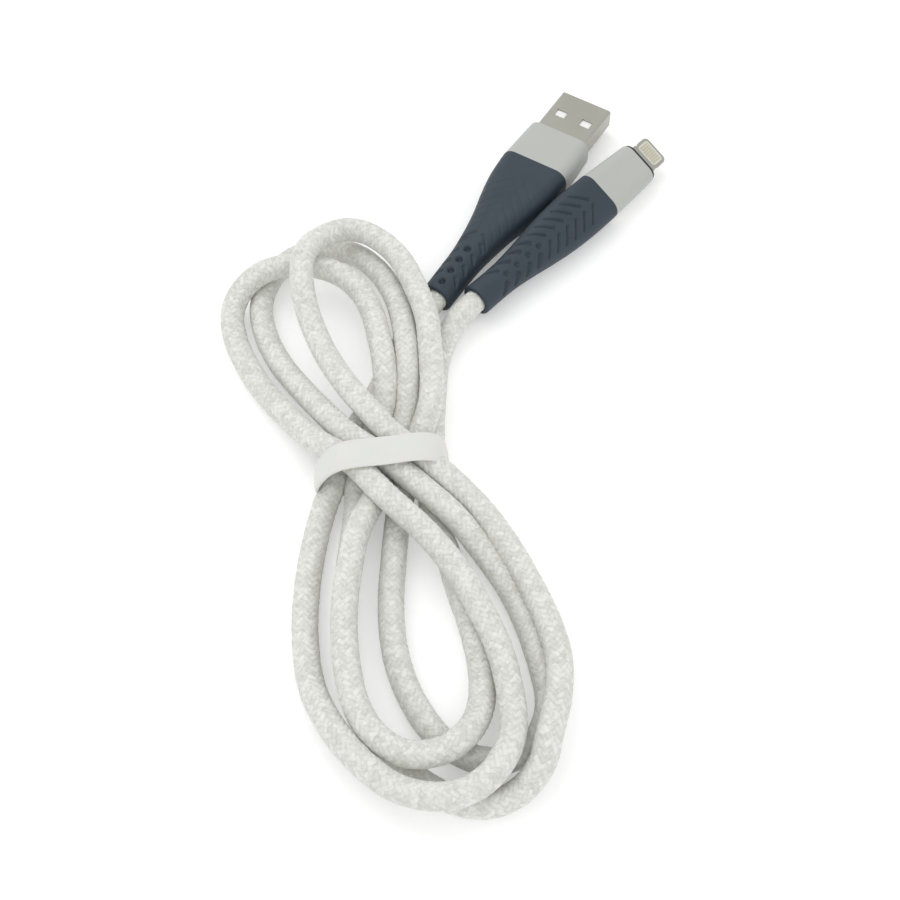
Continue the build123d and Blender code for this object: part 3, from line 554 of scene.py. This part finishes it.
charger_sleeve = rubber_boot(
    "charger_sleeve", CHARGER_BOOT, CHARGER_HOLLOWS, 0.00020, Matrix.Translation((0, -0.0315, 0.0040))
)
phone_sleeve = rubber_boot(
    "phone_sleeve", PHONE_BOOT, PHONE_HOLLOWS, 0.00018,
    Matrix.Translation((0.0073, -0.0282, 0.0046))
    @ Matrix.Rotation(radians(-11.6), 4, "Z") @ Matrix.Rotation(radians(24.0), 4, "Y"),
)
rubber_material, rubber_shader = fresh_material("navy_rubber", (0.020, 0.034, 0.049), 0.6)
tree = rubber_material.node_tree
rubber_bloom = object_noise(tree, 180.0)
tree.links.new(
    colour_between(tree, rubber_bloom, (0.016, 0.028, 0.041), (0.024, 0.041, 0.058)),
    rubber_shader.inputs["Base Color"],
)
raise_surface(tree, rubber_shader, object_noise(tree, 2500.0), 0.00004)
for sleeve, node in ((charger_sleeve, "charger_boot"), (phone_sleeve, "phone_boot")):
    sleeve.data.materials.append(rubber_material)
    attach(sleeve, "root")
    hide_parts(node)


# ---------------------------------------------------------------- pieces inside the boots
# Each boot hides a moulded core, a crimped steel ferrule round the combed-out braid, the cord's own
# jacket and its four wires. In the phone plug they run to a small board with a chip under a steel can.
def mottled(name, dark, light, roughness, metallic=0.0, scale=300.0, grain=1500.0, depth=0.00002):
    """A finish with cloudy colour at one scale and a fine raised grain at another."""
    material, shader = fresh_material(name, light, roughness, metallic)
    tree = material.node_tree
    clouds = object_noise(tree, scale)
    tree.links.new(colour_between(tree, clouds, dark, light), shader.inputs["Base Color"])
    raise_surface(tree, shader, object_noise(tree, grain), depth)
    return material


def finish(material, *nodes):
    """Puts a finish on CAD nodes that keep their own shape."""
    for node in nodes:
        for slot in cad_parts[node].material_slots:
            slot.material = material


finish(mottled("cream_core", (0.52, 0.50, 0.44), (0.62, 0.60, 0.54), 0.55),
       "charger_inner_mould", "phone_inner_mould")
finish(mottled("rolled_steel", (0.42, 0.42, 0.41), (0.58, 0.58, 0.56), 0.32, 1.0, scale=900.0),
       "charger_crimp_ferrule", "phone_crimp_ferrule", "phone_shield_can")
finish(mottled("grey_jacket", (0.30, 0.30, 0.30), (0.37, 0.37, 0.37), 0.6),
       "charger_cord_jacket", "phone_cord_jacket")
finish(mottled("combed_braid", (0.45, 0.45, 0.42), (0.62, 0.62, 0.58), 0.85, scale=2000.0, depth=0.00008),
       "charger_braid_end", "phone_braid_end")
finish(mottled("green_board", (0.01, 0.10, 0.045), (0.015, 0.15, 0.07), 0.4, scale=800.0),
       "phone_circuit_board")
finish(mottled("black_epoxy", (0.010, 0.010, 0.011), (0.020, 0.020, 0.022), 0.5), "phone_controller_chip")
finish(mottled("tan_ceramic", (0.30, 0.21, 0.12), (0.40, 0.29, 0.18), 0.45), "phone_capacitors")
for wire, dark, light in (
    ("red", (0.34, 0.015, 0.012), (0.42, 0.02, 0.015)),
    ("white", (0.58, 0.58, 0.56), (0.68, 0.68, 0.66)),
    ("green", (0.01, 0.16, 0.04), (0.015, 0.22, 0.06)),
    ("black", (0.012, 0.012, 0.012), (0.022, 0.022, 0.022)),
):
    finish(mottled(wire + "_wire", dark, light, 0.4), "charger_wire_" + wire, "phone_wire_" + wire)


# ---------------------------------------------------------------- charger plug's front
# The drawn steel shell stands out of a hard grey collar. Inside it a white tongue carries four
# plated contacts, and two latch windows on each side show it.
finish(mottled("collar_plastic", (0.405, 0.42, 0.395), (0.43, 0.445, 0.42), 0.5, scale=120.0, depth=0.00001),
       "charger_collar", "phone_collar")
finish(mottled("drawn_steel", (0.36, 0.36, 0.315), (0.44, 0.44, 0.395), 0.34, 1.0, scale=90.0, grain=2600.0,
               depth=0.000006), "charger_shell", "phone_tab_frame")
finish(mottled("white_tongue", (0.80, 0.80, 0.79), (0.88, 0.88, 0.87), 0.4), "charger_tongue")
finish(mottled("plated_contact", (0.62, 0.47, 0.22), (0.74, 0.58, 0.30), 0.28, 1.0, scale=1500.0),
       "charger_contact_power", "charger_contact_data_minus", "charger_contact_data_plus",
       "charger_contact_ground")


# ---------------------------------------------------------------- phone plug's front
# A thin steel tab with a cream insert on each face, in a dark bezel set in the collar. Eight small
# contacts lie flush in each face, dulled by handling.
finish(mottled("dark_bezel", (0.010, 0.011, 0.013), (0.018, 0.019, 0.022), 0.45), "phone_bezel")
finish(mottled("cream_insert", (0.60, 0.585, 0.52), (0.68, 0.665, 0.60), 0.42), "phone_contact_insert")
finish(mottled("dull_contact", (0.50, 0.46, 0.36), (0.62, 0.58, 0.47), 0.38, 1.0, scale=1800.0),
       "phone_contacts_top", "phone_contacts_bottom")
